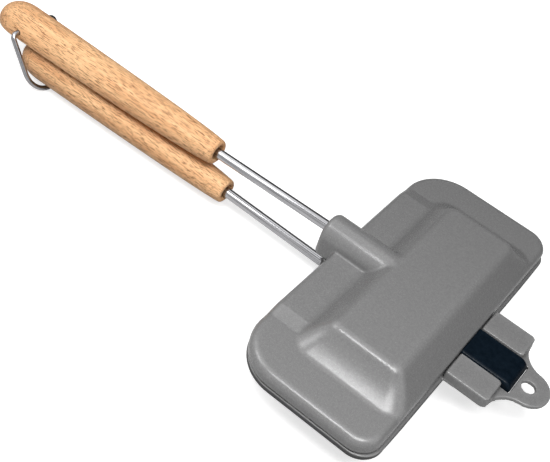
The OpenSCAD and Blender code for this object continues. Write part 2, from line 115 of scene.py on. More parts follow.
both = add(sky, "ShaderNodeMixShader", {0: white_to_the_eye(sky), 1: fill.outputs[0],
                                        2: white.outputs[0]})
add(sky, "ShaderNodeOutputWorld", {"Surface": both.outputs[0]})

# the paper lies just under the lower grip: its matt tone in bounced light and to the eye, and
# how much it glows in metal and to the eye
FLOOR_Z, FLOOR_REACH = -4.6, 3000.0
PAPER_BOUNCE, PAPER_TONE = 0.3, 0.7
GLOW_IN_METAL, GLOW = 0.05, 0.7

floor = bpy.data.objects.new("floor", bpy.data.meshes.new("floor"))
scene.collection.objects.link(floor)
floor_corners = [(x * FLOOR_REACH * MM, y * FLOOR_REACH * MM, FLOOR_Z * MM)
                 for x, y in ((-1, -1), (1, -1), (1, 1), (-1, 1))]
floor.data.from_pydata(floor_corners, [], [(0, 1, 2, 3)])
sweep = bpy.data.materials.new("white_sweep")
sweep.use_nodes = True
paper = sweep.node_tree
paper.nodes.clear()
bounce = add(paper, "ShaderNodeBsdfDiffuse", {"Color": grey(PAPER_BOUNCE)})
matt = add(paper, "ShaderNodeBsdfDiffuse", {"Color": grey(PAPER_TONE)})
straight = add(paper, "ShaderNodeLightPath").outputs["Is Camera Ray"]
shining = add(paper, "ShaderNodeMapRange", {"Value": straight, "To Min": GLOW_IN_METAL,
                                            "To Max": GLOW})
glow = add(paper, "ShaderNodeEmission", {"Color": grey(1), "Strength": shining.outputs[0]})
lift = add(paper, "ShaderNodeAddShader", {0: matt.outputs[0], 1: glow.outputs[0]})
seen = add(paper, "ShaderNodeMixShader", {0: white_to_the_eye(paper), 1: bounce.outputs[0],
                                          2: lift.outputs[0]})
add(paper, "ShaderNodeOutputMaterial", {"Surface": seen.outputs[0]})
floor.data.materials.append(sweep)


def soft_box(name, at, aim, size, power):
    """A square soft box, aimed at a point: places and size in metres, power in watts."""
    lamp = bpy.data.objects.new(name, bpy.data.lights.new(name, "AREA"))
    scene.collection.objects.link(lamp)
    lamp.data.shape = "SQUARE"
    lamp.data.size = size
    lamp.data.energy = power
    way = np.array(aim, float) - np.array(at, float)
    way /= np.linalg.norm(way)
    side = np.cross(way, (0, 0, 1))
    side /= np.linalg.norm(side)
    up = np.cross(side, way)
    lamp.matrix_world = Matrix.Translation(at) @ Matrix(
        [(side[i], up[i], -way[i]) for i in range(3)]).to_4x4()


soft_box("key_box", (0.14, -0.2, 0.49), (-0.02, 0, 0.01), 0.24, 2.1)
soft_box("glint_box", (-0.055, -0.25, 0.45), (0, -0.06, 0.02), 0.1, 0.75)
soft_box("grip_box", (-0.26, -0.13, 0.28), (-0.24, 0, 0.02), 0.16, 0.42)

# ---- castings: two coated halves of cast aluminium ----
# Each is one casting: a rim, a raised pad, a drafted dome and a boss that grips its rod.
# All its edges are soft from the mould. Heights are measured from the seam.
PLATE_BACK, PLATE_FRONT, PLATE_HALF = -35.5, 35.5, 82.5
BACK_CORNER, FRONT_CORNER = 22.0, 11.0
WALL, RIM, FRONT_RIM = 3.2, 3.6, 5.6
HALF_GAP = 0.4
PAD_RISE, PAD_HALF, RAMP = 1.5, 50.15, 6.5
PAD_END, PAD_FADE = -8.0, 4.0
DOME_H, DOME_BACK, DOME_FRONT, DOME_HALF = 18.5, -8.87, 24.03, 50.9
DRAFT = math.radians(43)
TOP_CORNER, FOOT_CORNER, FOOT_DROP = 4.0, 9.0, 11.0
LEAST_CORNER, MOST_CORNER = 1.0, 14.0
END_SLOPE, END_SWEEP = 0.5, 0.052
BOSS_R, BOSS_NOSE, BOSS_Z, BOSS_END = 8.3, 3.0, 10.1, -7.2
LEDGE_HALF, LEDGE_TAPER, LEDGE_H = 6.8, 0.105, 1.15
LEDGE_SETBACK, LEDGE_END = 1.2, -12.0
ROD_BORE, ROD_DEPTH = 2.62, 24.0
SCREW_BORE, SCREW_IN, SCREW_TOP = 2.02, 5.0, 8.0
# how wide each softened edge and each fillet is
TOP_EDGE, TOP_FLAT_EDGE, DOME_FRONT_EDGE, FRONT_EDGE = 2.2, 0.2, 0.8, 0.5
LEDGE_EDGE, CAVITY_EDGE, RIM_EDGE, SEAM_EDGE = 0.5, 0.6, 0.8, 0.7
ROD_BORE_EDGE, SCREW_BORE_EDGE = 0.5, 0.3
FOOT_FILLET, END_FOOT_FILLET, END_FOOT_FROM = 1.7, 0.9, 56
BOSS_FILLET, LEDGE_FILLET, CAVITY_FILLET = 1.6, 0.6, 1.6


def soft_min(a, b, k):
    """Joins two shapes with a fillet about k wide."""
    share = np.maximum(k - np.abs(a - b), 0) / k
    return np.minimum(a, b) - share * share * k / 4


def soft_max(a, b, k):
    """Cuts one shape by another and leaves the edge k soft."""
    return -soft_min(-a, -b, k)


def edge(a, b, r):
    """Meeting of two faces at right angles with a round edge of radius r."""
    a, b = a + r, b + r
    return np.minimum(np.maximum(a, b), 0) + np.hypot(np.maximum(a, 0), np.maximum(b, 0)) - r


def plan(x, y, x0, x1, half, back_r, front_r):
    """Distance to a rectangle with its own corner radius at each end of X."""
    r = np.where(x < (x0 + x1) / 2, back_r, front_r)
    return edge(np.abs(x - (x0 + x1) / 2) - (x1 - x0) / 2, np.abs(y) - half, r)


def dome_walls(x, y, z):
    """Distance to the dome's drafted walls, whose ends are swept out towards the foot."""
    drop = DOME_H - z
    spread = drop * math.tan(DRAFT)
    sweep = drop * END_SLOPE + np.maximum(drop, 0) ** 2 * END_SWEEP
    r = np.clip(TOP_CORNER + (FOOT_CORNER - TOP_CORNER) * drop / FOOT_DROP,
                LEAST_CORNER, MOST_CORNER)
    return plan(x, y, DOME_BACK - spread, DOME_FRONT + spread, DOME_HALF + sweep,
                r, r) * math.cos(DRAFT)


def half_casting(x, y, z, flange, round_r, out, back, rod_z, tilt):
    """One half, seam down: negative inside the metal."""
    front = PLATE_FRONT + out
    ramp = np.clip((PAD_HALF + RAMP - np.abs(y)) / RAMP, 0, 1)
    pad = PAD_RISE * (ramp * np.clip((PAD_END - x) / PAD_FADE, 0, 1))
    body = edge(plan(x, y, PLATE_BACK, front, PLATE_HALF, BACK_CORNER, FRONT_CORNER),
                z - flange - pad, round_r)
    dome = soft_max(dome_walls(x, y, z), z - DOME_H, TOP_EDGE)
    foot = np.where(np.abs(y) > END_FOOT_FROM, END_FOOT_FILLET, FOOT_FILLET)
    body = soft_min(body, soft_max(dome, x - front, DOME_FRONT_EDGE), foot)
    round_way = np.hypot(y, np.maximum(z - BOSS_Z, 0))
    boss = edge(back - x, round_way - BOSS_R, BOSS_NOSE)
    body = soft_min(body, np.maximum(boss, x - BOSS_END), BOSS_FILLET)
    ledge = np.maximum(np.abs(y) - LEDGE_HALF + x * LEDGE_TAPER, PLATE_BACK + LEDGE_SETBACK - x)
    ledge = edge(ledge, z - flange - LEDGE_H, LEDGE_EDGE)
    body = soft_min(body, np.maximum(ledge, x - LEDGE_END), LEDGE_FILLET)
    body = soft_max(soft_max(body, x - front, FRONT_EDGE), z - DOME_H, TOP_FLAT_EDGE)
    inside = plan(x, y, PLATE_BACK + RIM, PLATE_FRONT - FRONT_RIM, PLATE_HALF - RIM,
                  BACK_CORNER - RIM, FRONT_CORNER - RIM)
    hollow = soft_max(dome_walls(x, y, z) + WALL, z - DOME_H + WALL, CAVITY_FILLET)
    hollow = soft_min(np.maximum(inside, z - flange + WALL), hollow, CAVITY_FILLET)
    body = soft_max(body, -soft_max(hollow, inside, CAVITY_EDGE), RIM_EDGE)
    bore = np.hypot(y, z - rod_z - (x - back) * math.tan(tilt)) - ROD_BORE
    body = soft_max(body, -np.maximum(bore, x - back - ROD_DEPTH), ROD_BORE_EDGE)
    screw = np.hypot(x - back - SCREW_IN, y) - SCREW_BORE
    body = soft_max(body, -np.maximum(screw, z - SCREW_TOP), SCREW_BORE_EDGE)
    return soft_max(body, HALF_GAP - z, SEAM_EDGE)


SLOPE_STEP, LEAST_SLOPE, SETTLE_PASSES = 0.04, 0.05, 4


def slope_of(shape, points):
    """Which way the shape's surface faces at each point."""
    out = np.empty_like(points)
    for axis in range(3):
        a, b = points.copy(), points.copy()
        a[:, axis] += SLOPE_STEP
        b[:, axis] -= SLOPE_STEP
        out[:, axis] = (shape(*a.T) - shape(*b.T)) / (2 * SLOPE_STEP)
    return out


def settle(shape, points, reach):
    """Moves points along the slope onto the true surface."""
    for _ in range(SETTLE_PASSES):
        way = slope_of(shape, points)
        off = shape(*points.T) / np.maximum((way * way).sum(axis=1), LEAST_SLOPE)
        points = points - np.clip(off, -reach, reach)[:, None] * way
    return points


def skin(shape, low, high, step):
    """Quads over the surface of a shape, one corner in each cell that it crosses."""
    count = [int(math.ceil((high[i] - low[i]) / step)) + 1 for i in range(3)]
    lines = [low[i] + step * np.arange(count[i]) for i in range(3)]
    value = shape(*np.meshgrid(*lines, indexing="ij"))
    inner = value < 0
    cells = tuple(n - 1 for n in count)
    # each cell's corner is the middle of the places where the surface crosses its edges
    total, hits = np.zeros((3,) + cells), np.zeros(cells)
    whole = [slice(0, n) for n in cells]
    for axis in range(3):
        others = [i for i in range(3) if i != axis]
        for u in (0, 1):
            for v in (0, 1):
                start = list(whole)
                start[others[0]] = slice(u, u + cells[others[0]])
                start[others[1]] = slice(v, v + cells[others[1]])
                end = list(start)
                end[axis] = slice(1, 1 + cells[axis])
                a, b = value[tuple(start)], value[tuple(end)]
                cross = (a < 0) != (b < 0)
                part = np.where(cross, a / np.where(cross, a - b, 1), 0)
                total[axis] += part
                total[others[0]] += u * cross
                total[others[1]] += v * cross
                hits += cross
    used = hits > 0
    number = np.full(cells, -1)
    number[used] = np.arange(used.sum())
    corner = np.argwhere(used)
    points = np.array(low) + step * (corner + (total[:, used] / hits[used]).T)
    # a quad joins the four cells round each grid line that the surface crosses
    faces = []
    for axis in range(3):
        b, c = (axis + 1) % 3, (axis + 2) % 3
        first = [slice(None)] * 3
        second = [slice(None)] * 3
        first[axis], second[axis] = slice(0, -1), slice(1, None)
        change = inner[tuple(first)].astype(int) - inner[tuple(second)].astype(int)
        for sign in (1, -1):
            at = np.argwhere(change == sign)
            keep = np.all([(at[:, i] > 0) & (at[:, i] < cells[i]) for i in (b, c)], axis=0)
            at = at[keep]
            ring = []
            for db, dc in ((-1, -1), (0, -1), (0, 0), (-1, 0)):
                cell = at.copy()
                cell[:, b] += db
                cell[:, c] += dc
                ring.append(number[tuple(cell.T)])
            quad = np.stack(ring if sign > 0 else ring[::-1], axis=1)
            faces.append(quad)
    return points, np.concatenate(faces)


def cast(name, shape, low, high, step, keep, material):
    """A smooth piece from the shape in a box: skinned, thinned where it is flat, and settled."""
    points, faces = skin(shape, low, high, step)
    points = settle(shape, points, step)
    mesh = bpy.data.meshes.new(name)
    mesh.from_pydata((points * MM).tolist(), [], faces.tolist())
    rough = bpy.data.objects.new(name + "_rough", mesh)
    scene.collection.objects.link(rough)
    thin = rough.modifiers.new("thin", "DECIMATE")
    thin.ratio = keep
    graph = bpy.context.evaluated_depsgraph_get()
    final = bpy.data.meshes.new_from_object(rough.evaluated_get(graph))
    bpy.data.objects.remove(rough)
    flat = np.empty(len(final.vertices) * 3)
    final.vertices.foreach_get("co", flat)
    points = settle(shape, flat.reshape(-1, 3) / MM, step)
    final.vertices.foreach_set("co", (points * MM).ravel())
    facing = slope_of(shape, points)
    facing /= np.linalg.norm(facing, axis=1)[:, None]
    final.polygons.foreach_set("use_smooth", [True] * len(final.polygons))
    final.update()
    final.normals_split_custom_set_from_vertices(facing.tolist())
    final.name = name
    piece = bpy.data.objects.new(name, final)
    scene.collection.objects.link(piece)
    final.materials.append(material)
    return piece


def new_group(name, inputs, outputs):
    """An empty shader group with named inputs and outputs."""
    group = bpy.data.node_groups.new(name, "ShaderNodeTree")
    for label, kind, value in inputs:
        socket = group.interface.new_socket(label, in_out="INPUT", socket_type=kind)
        socket.default_value = value
    for label, kind in outputs:
        group.interface.new_socket(label, in_out="OUTPUT", socket_type=kind)
    return group, add(group, "NodeGroupInput"), add(group, "NodeGroupOutput")


# cloudy tone, fine grain, and how far a place stands out or lies in, of a baked surface
mottle, given, result = new_group(
    "mottle",
    [("Cloud Size", "NodeSocketFloat", 300.0), ("Grain Size", "NodeSocketFloat", 2500.0)],
    [("Cloud", "NodeSocketFloat"), ("Grain", "NodeSocketFloat"), ("Edge", "NodeSocketFloat")])
place = add(mottle, "ShaderNodeTexCoord").outputs["Object"]
clouds = add(mottle, "ShaderNodeTexNoise", {"Vector": place, "Scale": given.outputs["Cloud Size"],
                                            "Detail": 4.0, "Roughness": 0.6})
cloud = add(mottle, "ShaderNodeMapRange", {"Value": clouds.outputs["Fac"], "From Min": 0.32,
                                           "From Max": 0.68})
grain = add(mottle, "ShaderNodeTexNoise", {"Vector": place, "Scale": given.outputs["Grain Size"],
                                           "Detail": 2.0, "Roughness": 0.5})
bent = add(mottle, "ShaderNodeNewGeometry").outputs["Pointiness"]
rounded = add(mottle, "ShaderNodeMapRange", {"Value": bent, "From Min": 0.44, "From Max": 0.56})
mottle.links.new(rounded.outputs["Result"], result.inputs["Edge"])
mottle.links.new(cloud.outputs["Result"], result.inputs["Cloud"])
mottle.links.new(grain.outputs["Fac"], result.inputs["Grain"])


def finish(name, sockets):
    """A material with one Principled shader, its plain sockets set."""
    material = bpy.data.materials.new(name)
    material.use_nodes = True
    tree = material.node_tree
    tree.nodes.clear()
    shader = add(tree, "ShaderNodeBsdfPrincipled", sockets)
    add(tree, "ShaderNodeOutputMaterial", {"Surface": shader.outputs[0]})
    return material, tree, shader


def mottled(name, dark, light, edge_light_and_shade, rough, cloud_size, grain_size, bump, sockets):
    """A finish with cloudy tone, uneven gloss, a fine skin, and painted light: pale edges as
    painted highlights and dark creases as painted shade.
    """
    material, tree, shader = finish(name, sockets)
    spots = add(tree, "ShaderNodeGroup", {"Cloud Size": cloud_size, "Grain Size": grain_size},
                node_tree=mottle)
    fine = add(tree, "ShaderNodeMath", {0: spots.outputs["Cloud"], 1: spots.outputs["Grain"]},
               operation="MULTIPLY")
    tone = add(tree, "ShaderNodeMix", {0: fine.outputs[0], 6: dark, 7: light}, data_type="RGBA")
    # painted light: rounded edges are lightened as painted highlights and creases darkened as
    # painted shade
    edge_highlight_and_crease_shade = add(tree, "ShaderNodeMapRange", {"Value": spots.outputs["Edge"], "To Min": 1 - edge_light_and_shade,
                                            "To Max": 1 + edge_light_and_shade})
    tone = add(tree, "ShaderNodeMix", {0: 1.0, 6: tone.outputs[2], 7: edge_highlight_and_crease_shade.outputs["Result"]},
               data_type="RGBA", blend_type="MULTIPLY")
    gloss = add(tree, "ShaderNodeMapRange", {"Value": spots.outputs["Grain"], "To Min": rough[0],
                                             "To Max": rough[1]})
    skin_bump = add(tree, "ShaderNodeBump", {"Height": spots.outputs["Grain"],
                                             "Strength": bump, "Distance": 0.0002})
    tree.links.new(tone.outputs[2], shader.inputs["Base Color"])
    tree.links.new(gloss.outputs["Result"], shader.inputs["Roughness"])
    tree.links.new(skin_bump.outputs["Normal"], shader.inputs["Normal"])
    return material


coat = mottled("grey_coat", dark=(0.17, 0.17, 0.171, 1), light=(0.235, 0.234, 0.232, 1),
               edge_light_and_shade=0.28, rough=(0.2, 0.32), cloud_size=900, grain_size=3600, bump=0.16,
               sockets={"Specular IOR Level": 0.6})

UPPER_FLANGE, UPPER_ROUND, UPPER_OUT = 7.1, 3.6, 0.0
UPPER_BOSS, UPPER_ROD_Z, UPPER_TILT = -44.8, 10.7, math.radians(2)
TONGUE_HALF, TANG_START, TANG_H = 9.2, 30.9, 4.2
NOTCH_SIDE_FIT, NOTCH_TOP_FIT, NOTCH_EDGE = 0.03, 0.02, 0.2
UPPER_BOX = (-46, -84, 18), (37, 84, 38.2)
CAST_STEP, CAST_KEEP = 0.75, 0.35


def upper_shape(x, y, z):
    """The upper half, with the notch that the tongue's tang is pinned into."""
    body = half_casting(x, y, z - SEAM, UPPER_FLANGE, UPPER_ROUND, UPPER_OUT, UPPER_BOSS,
                        UPPER_ROD_Z, UPPER_TILT)
    notch = np.maximum(np.maximum(np.abs(y) - TONGUE_HALF - NOTCH_SIDE_FIT, TANG_START - x),
                       z - SEAM - TANG_H - NOTCH_TOP_FIT)
    return soft_max(body, -notch, NOTCH_EDGE)


upper = cast("upper_casting", upper_shape, *UPPER_BOX, CAST_STEP, CAST_KEEP, coat)
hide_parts("upper_plate")
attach(upper, "upper_half")

# ---- lower casting: the other half, with the hinge blocks and the hanging tab ----
# The blocks carry the pin across the slot, and the tab behind them has a hole for a hook.
# They are part of the same casting and share its coating.
LOWER_FLANGE, LOWER_ROUND, LOWER_OUT = 5.0, 3.2, 1.2
LOWER_BOSS, LOWER_ROD_Z, LOWER_TILT = -40.0, 10.9, math.radians(0.5)
BLOCK_START, BLOCK_END, BLOCK_H, BLOCK_DEPTH = 36.07, 57.0, 4.6, 1.2
BLOCK_IN, BLOCK_OUT = 9.6, 23.6
BLOCK_BACK_CORNER, BLOCK_CORNER, BLOCK_EDGE, BLOCK_FILLET = 0.6, 2.0, 0.5, 0.8
ROOT_START, ROOT_END, ROOT_CORNER, ROOT_FILLET = 33, 42, 0.5, 0.4
RIB_INSET, RIB_START, RIB_TOP, RIB_DEPTH = 3.5, 34, -1, 4.2
RIB_RISE, RIB_RUN = 3, 19.5
SLOT_START, SLOT_END, SLOT_EDGE = 36.7, 61.46, 0.3
HOLE_X, HOLE_R, HOLE_EDGE = 66.5, 3.25, 0.3
TAB_R, TAB_TOP, TAB_UNDER, TAB_EDGE, TAB_FILLET = 10.0, 1.0, -1.1, 0.5, 1.4
HOLLOW_R, NECK_PAST_HOLE, NECK_ROOT = 12.0, 0.94, 4
NECK = math.sqrt((TAB_R + HOLLOW_R) ** 2 - (HOLE_X - BLOCK_END - HOLLOW_R) ** 2)
PIN_X, PIN_Z, PIN_R = 51.3, 1.7, 1.5
PIN_START, PIN_FIT, PIN_EDGE = -18.9, 0.03, 0.2
LOWER_BOX = (-41.5, -84, -0.8), (78, 84, 24)


def layer(z, under, top):
    """Distance to the flat layer between two heights."""
    return np.abs(z - (top + under) / 2) - (top - under) / 2


def lower_shape(x, y, z):
    """The lower half turned over, with its hinge blocks, their ribs, the tab and the slot."""
    z = z - SEAM
    body = half_casting(x, y, -z, LOWER_FLANGE, LOWER_ROUND, LOWER_OUT, LOWER_BOSS, LOWER_ROD_Z,
                        LOWER_TILT)
    mid, half = (BLOCK_OUT + BLOCK_IN) / 2, (BLOCK_OUT - BLOCK_IN) / 2
    across = np.abs(y) - mid
    block = plan(x, across, BLOCK_START, BLOCK_END, half, BLOCK_BACK_CORNER, BLOCK_CORNER)
    block = edge(block, layer(z, -BLOCK_DEPTH, BLOCK_H), BLOCK_EDGE)
    root = np.maximum(plan(x, across, ROOT_START, ROOT_END, half, ROOT_CORNER, ROOT_CORNER),
                      layer(z, -BLOCK_DEPTH, -HALF_GAP))
    rib = np.maximum(np.maximum(np.abs(across) - half + RIB_INSET, z - RIB_TOP),
                     -z - RIB_DEPTH + (x - PLATE_FRONT) * RIB_RISE / RIB_RUN)
    block = soft_min(block, np.minimum(root, np.maximum(rib, RIB_START - x)), ROOT_FILLET)
    neck = np.maximum(np.maximum(x - HOLE_X - NECK_PAST_HOLE, np.abs(y) - NECK),
                      HOLLOW_R - np.hypot(x - BLOCK_END - HOLLOW_R, np.abs(y) - NECK))
    neck = np.maximum(neck, BLOCK_END - NECK_ROOT - x)
    tab = np.minimum(np.hypot(x - HOLE_X, y) - TAB_R, neck)
    tab = edge(tab, layer(z, TAB_UNDER, TAB_TOP), TAB_EDGE)
    tab = soft_max(tab, HOLE_R - np.hypot(x - HOLE_X, y), HOLE_EDGE)
    body = soft_min(body, soft_min(block, tab, TAB_FILLET), BLOCK_FILLET)
    slot_from = np.where(z > -HALF_GAP, PLATE_FRONT, SLOT_START)
    slot = np.maximum(np.abs(y) - BLOCK_IN, np.maximum(slot_from - x, x - SLOT_END))
    body = soft_max(body, -slot, SLOT_EDGE)
    pin = np.maximum(np.hypot(x - PIN_X, z - PIN_Z) - PIN_R - PIN_FIT, PIN_START - y)
    return soft_max(body, -pin, PIN_EDGE)


# the lower half's coat, with painted shade: the same coat, its colour darkened from just under the
# seam down, where its rim lies in shade under the upper half, and its roughness raised there so it
# shines less
SHADE_START, SHADE_FULL, SHADE_TONE, SHADE_ROUGH = 0.35, 1.0, 0.26, 0.85
lower_coat_painted_shade = coat.copy()
lower_coat_painted_shade.name = "grey_coat_painted_shade_under_seam"
shaded_tree = lower_coat_painted_shade.node_tree
skin_shader = next(n for n in shaded_tree.nodes if n.bl_idname == "ShaderNodeBsdfPrincipled")
unshaded_tone = skin_shader.inputs["Base Color"].links[0].from_socket
place = add(shaded_tree, "ShaderNodeTexCoord").outputs["Object"]
height = add(shaded_tree, "ShaderNodeSeparateXYZ", {0: place}).outputs["Z"]
# painted shade: the coat's colour goes darker from just under the seam down
painted_shade = add(shaded_tree, "ShaderNodeMapRange",
           {"Value": height, "From Min": (SEAM - SHADE_FULL) * MM,
            "From Max": (SEAM - SHADE_START) * MM, "To Min": SHADE_TONE})
shaded_tone = add(shaded_tree, "ShaderNodeMix", {0: 1.0, 6: unshaded_tone, 7: painted_shade.outputs["Result"]},
             data_type="RGBA", blend_type="MULTIPLY")
shaded_tree.links.new(shaded_tone.outputs[2], skin_shader.inputs["Base Color"])
sheen = skin_shader.inputs["Roughness"].links[0].from_socket
dullness = add(shaded_tree, "ShaderNodeMapRange", {"Value": painted_shade.outputs["Result"], "From Min": SHADE_TONE,
                                        "To Min": SHADE_ROUGH, "To Max": 0.0})
dull_gloss = add(shaded_tree, "ShaderNodeMath", {0: sheen, 1: dullness.outputs["Result"]}, operation="MAXIMUM")
shaded_tree.links.new(dull_gloss.outputs[0], skin_shader.inputs["Roughness"])

lower = cast("lower_casting", lower_shape, *LOWER_BOX, CAST_STEP, CAST_KEEP, lower_coat_painted_shade)
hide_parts("lower_plate")
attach(lower, "lower_half")

# ---- tongue: the black piece of the hinge ----
# A steel block pinned into the upper half, bored for the hinge pin and curled down at its end.
# It is blackened and then oiled, so it is darker and glossier than the castings.
TONGUE_END, TONGUE_SWING, TONGUE_UNDER, NOSE_R = 61.36, 10.1, -1.6, 4.5
TANG_OUT, EYE_FIT, TONGUE_EDGE = 1, 0.05, 1.6
TONGUE_BOX = (30, -10, 16.8), (62, 10, 23.8)
TONGUE_STEP, TONGUE_KEEP = 0.4, 0.4
black = mottled("blackened_steel", dark=(0.001, 0.004, 0.008, 1), light=(0.006, 0.012, 0.02, 1),
                edge_light_and_shade=0.5, rough=(0.2, 0.3), cloud_size=420, grain_size=3000, bump=0.2,
                sockets={"Specular IOR Level": 0.1})


def tongue_shape(x, y, z):
    """Seen from the side: the tang, the bar, the eye round the pin and the curled nose."""
    z = z - SEAM
    tang = np.maximum(np.maximum(TANG_START - x, x - PLATE_FRONT - TANG_OUT),
                      layer(z, HALF_GAP, TANG_H))
    bar = np.maximum(np.maximum(PLATE_FRONT - x, x - PIN_X), np.maximum(HALF_GAP - z, z - BLOCK_H))
    eye = np.hypot(x - PIN_X, z - PIN_Z) - BLOCK_H + PIN_Z
    nose = edge(x - TONGUE_END, z - BLOCK_H, NOSE_R)
    nose = np.maximum(nose, np.hypot(x - PIN_X, z - PIN_Z) - TONGUE_SWING)
    nose = np.maximum(np.maximum(nose, PIN_X - x), TONGUE_UNDER - z)
    side = np.minimum(np.minimum(tang, bar), np.minimum(eye, nose))
    side = np.maximum(side, PIN_R + EYE_FIT - np.hypot(x - PIN_X, z - PIN_Z))
    return soft_max(side, np.abs(y) - TONGUE_HALF, TONGUE_EDGE)


tongue = cast("hinge_tongue_piece", tongue_shape, *TONGUE_BOX, TONGUE_STEP, TONGUE_KEEP, black)
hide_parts("hinge_tongue")
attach(tongue, "upper_half")

# ---- small steel parts: rods, hinge pin, pins, screws and threaded inserts ----
# The rods are polished stainless bar, gripped by a grub screw in each boss.
# Inserts, pins and screws are plain turned steel, and mostly hidden.

# grain drawn out into lines: how many there are in a metre of X, Y and Z
drawn_grain, given, result = new_group(
    "drawn_grain",
    [("Per Metre", "NodeSocketVector", (100.0, 1000.0, 1000.0)),
     ("Detail", "NodeSocketFloat", 3.0), ("Roughness", "NodeSocketFloat", 0.6)],
    [("Lines", "NodeSocketFloat")])
place = add(drawn_grain, "ShaderNodeTexCoord").outputs["Object"]
pull = add(drawn_grain, "ShaderNodeMapping", {"Vector": place,
                                              "Scale": given.outputs["Per Metre"]})
noise = add(drawn_grain, "ShaderNodeTexNoise", {"Vector": pull.outputs[0], "Scale": 1.0,
                                                "Detail": given.outputs["Detail"],
                                                "Roughness": given.outputs["Roughness"]})
drawn_grain.links.new(noise.outputs["Fac"], result.inputs["Lines"])


def brushed(name, dark, light, rough, per_metre, bump):
    """Bare metal with fine lines that change its tone, gloss and skin."""
    material, tree, shader = finish(name, {"Metallic": 1.0})
    lines = add(tree, "ShaderNodeGroup", {"Per Metre": per_metre},
                node_tree=drawn_grain).outputs["Lines"]
    tone = add(tree, "ShaderNodeMix", {0: lines, 6: dark, 7: light}, data_type="RGBA")
    gloss = add(tree, "ShaderNodeMapRange", {"Value": lines, "To Min": rough[0],
                                             "To Max": rough[1]})
    ridge = add(tree, "ShaderNodeBump", {"Height": lines, "Strength": bump,
                                         "Distance": 0.0001})
    tree.links.new(tone.outputs[2], shader.inputs["Base Color"])
    tree.links.new(gloss.outputs["Result"], shader.inputs["Roughness"])
    tree.links.new(ridge.outputs["Normal"], shader.inputs["Normal"])
    return material


# painted reflection: the rods' tone runs in dark and light streaks along their length, partly
# drawn grain and partly painted reflections of the room
polished_with_painted_streaks = brushed("polished_rod", dark=(0.14, 0.14, 0.15, 1), light=(0.72, 0.72, 0.74, 1),
                   rough=(0.1, 0.2), per_metre=(30, 1300, 1300), bump=0.18)
plain = brushed("turned_steel", dark=(0.36, 0.36, 0.36, 1), light=(0.5, 0.5, 0.5, 1),
                rough=(0.3, 0.42), per_metre=(1500, 300, 300), bump=0.15)
dark_screw = brushed("dark_screw", dark=(0.05, 0.05, 0.055, 1), light=(0.09, 0.09, 0.095, 1),
                     rough=(0.35, 0.5), per_metre=(900, 900, 900), bump=0.1)


def dress(node, material):
    """Gives a solid of the frame its finish."""
    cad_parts[node].data.materials.clear()
    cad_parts[node].data.materials.append(material)


for node in ("upper_rod", "lower_rod"):
    dress(node, polished_with_painted_streaks)
for node in ("hinge_pin", "tongue_pins", "upper_grip_insert", "lower_grip_insert"):
    dress(node, plain)
for node in ("upper_rod_screw", "lower_rod_screw"):
    dress(node, dark_screw)

# ---- grips: two turned handles of oiled beech ----
# Each is turned on a lathe, cut flat where the two meet, bored for its insert and pushed on.
# The upper one is longer and carries the latch in a cross hole near its end.
GRIP_FRONT_R, GRIP_EDGE = 6.0, 0.9
RECESS_R, RECESS, RECESS_EDGE, RECESS_ROUND = 3.8, 6.0, 0.6, 0.3
UPPER_BARE, UPPER_LENGTH, UPPER_WIDE = 65.3, 144.5, 22.4
UPPER_SWELL, UPPER_TAIL, UPPER_BLUNT = 0.55, 15.5, 2.2
LOWER_BARE, LOWER_LENGTH, LOWER_WIDE = 60.4, 136.5, 21.8
LOWER_SWELL, LOWER_TAIL, LOWER_BLUNT = 0.62, 16, 2.4
FLAT_Z, GRIP_GAP = 2.6, 0.4
LATCH_X, LATCH_Z, WIRE_R = -234.68, 6.6, 1.3
WIRE_FIT, WIRE_HOLE_EDGE = 0.12, 0.4
UPPER_GRIP_BOX = (-255.5, -12, 20), (-109, 12, 37)
LOWER_GRIP_BOX = (-238, -12, -3), (-99, 12, 22)
GRIP_STEP, GRIP_KEEP = 0.75, 0.5
WOOD_DEEP, WOOD_PALE = (0.78, 0.42, 0.205, 1), (1.0, 0.645, 0.355, 1)
FIBRE_DARK, FIBRE_PALE = (0.8, 0.76, 0.72, 1), (1.08, 1.06, 1.04, 1)
FLECK_TONE, FLECK_DEPTH = (0.26, 0.1, 0.035, 1), 0.85
OIL_DRY, OIL_WET = 0.62, 0.46

beech, grown, wood = finish("oiled_beech", {"Specular IOR Level": 0.35})


def streaks(per_metre, detail, rough, low, high):
    """Wood's lines along the grip, spread from 0 at the low level to 1 at the high one."""
    lines = add(grown, "ShaderNodeGroup", {"Per Metre": per_metre, "Detail": detail,
                                           "Roughness": rough}, node_tree=drawn_grain)
    return add(grown, "ShaderNodeMapRange", {"Value": lines.outputs["Lines"], "From Min": low,
                                             "From Max": high}).outputs["Result"]


def blended(share, under, over, way="MIX"):
    """Two tones of the wood laid over each other."""
    return add(grown, "ShaderNodeMix", {0: share, 6: under, 7: over}, data_type="RGBA",
               blend_type=way).outputs[2]


bands = streaks((14, 260, 260), 3.0, 0.6, 0.35, 0.68)
fibre = streaks((130, 3600, 3600), 3.0, 0.65, 0.3, 0.7)
fleck = streaks((230, 3300, 3300), 1.0, 0.5, 0.57, 0.6)
warm = blended(bands, WOOD_DEEP, WOOD_PALE)
fibred = blended(1.0, warm, blended(fibre, FIBRE_DARK, FIBRE_PALE), "MULTIPLY")
flecked = add(grown, "ShaderNodeMath", {0: fleck, 1: FLECK_DEPTH}, operation="MULTIPLY")
grown.links.new(blended(flecked.outputs[0], fibred, FLECK_TONE), wood.inputs["Base Color"])
oil = add(grown, "ShaderNodeMapRange", {"Value": fibre, "To Min": OIL_DRY, "To Max": OIL_WET})
grown.links.new(oil.outputs["Result"], wood.inputs["Roughness"])
pore = add(grown, "ShaderNodeMath", {0: fibre, 1: fleck}, operation="SUBTRACT").outputs[0]
dent = add(grown, "ShaderNodeBump", {"Height": pore, "Strength": 0.35, "Distance": 0.00015})
grown.links.new(dent.outputs["Normal"], wood.inputs["Normal"])


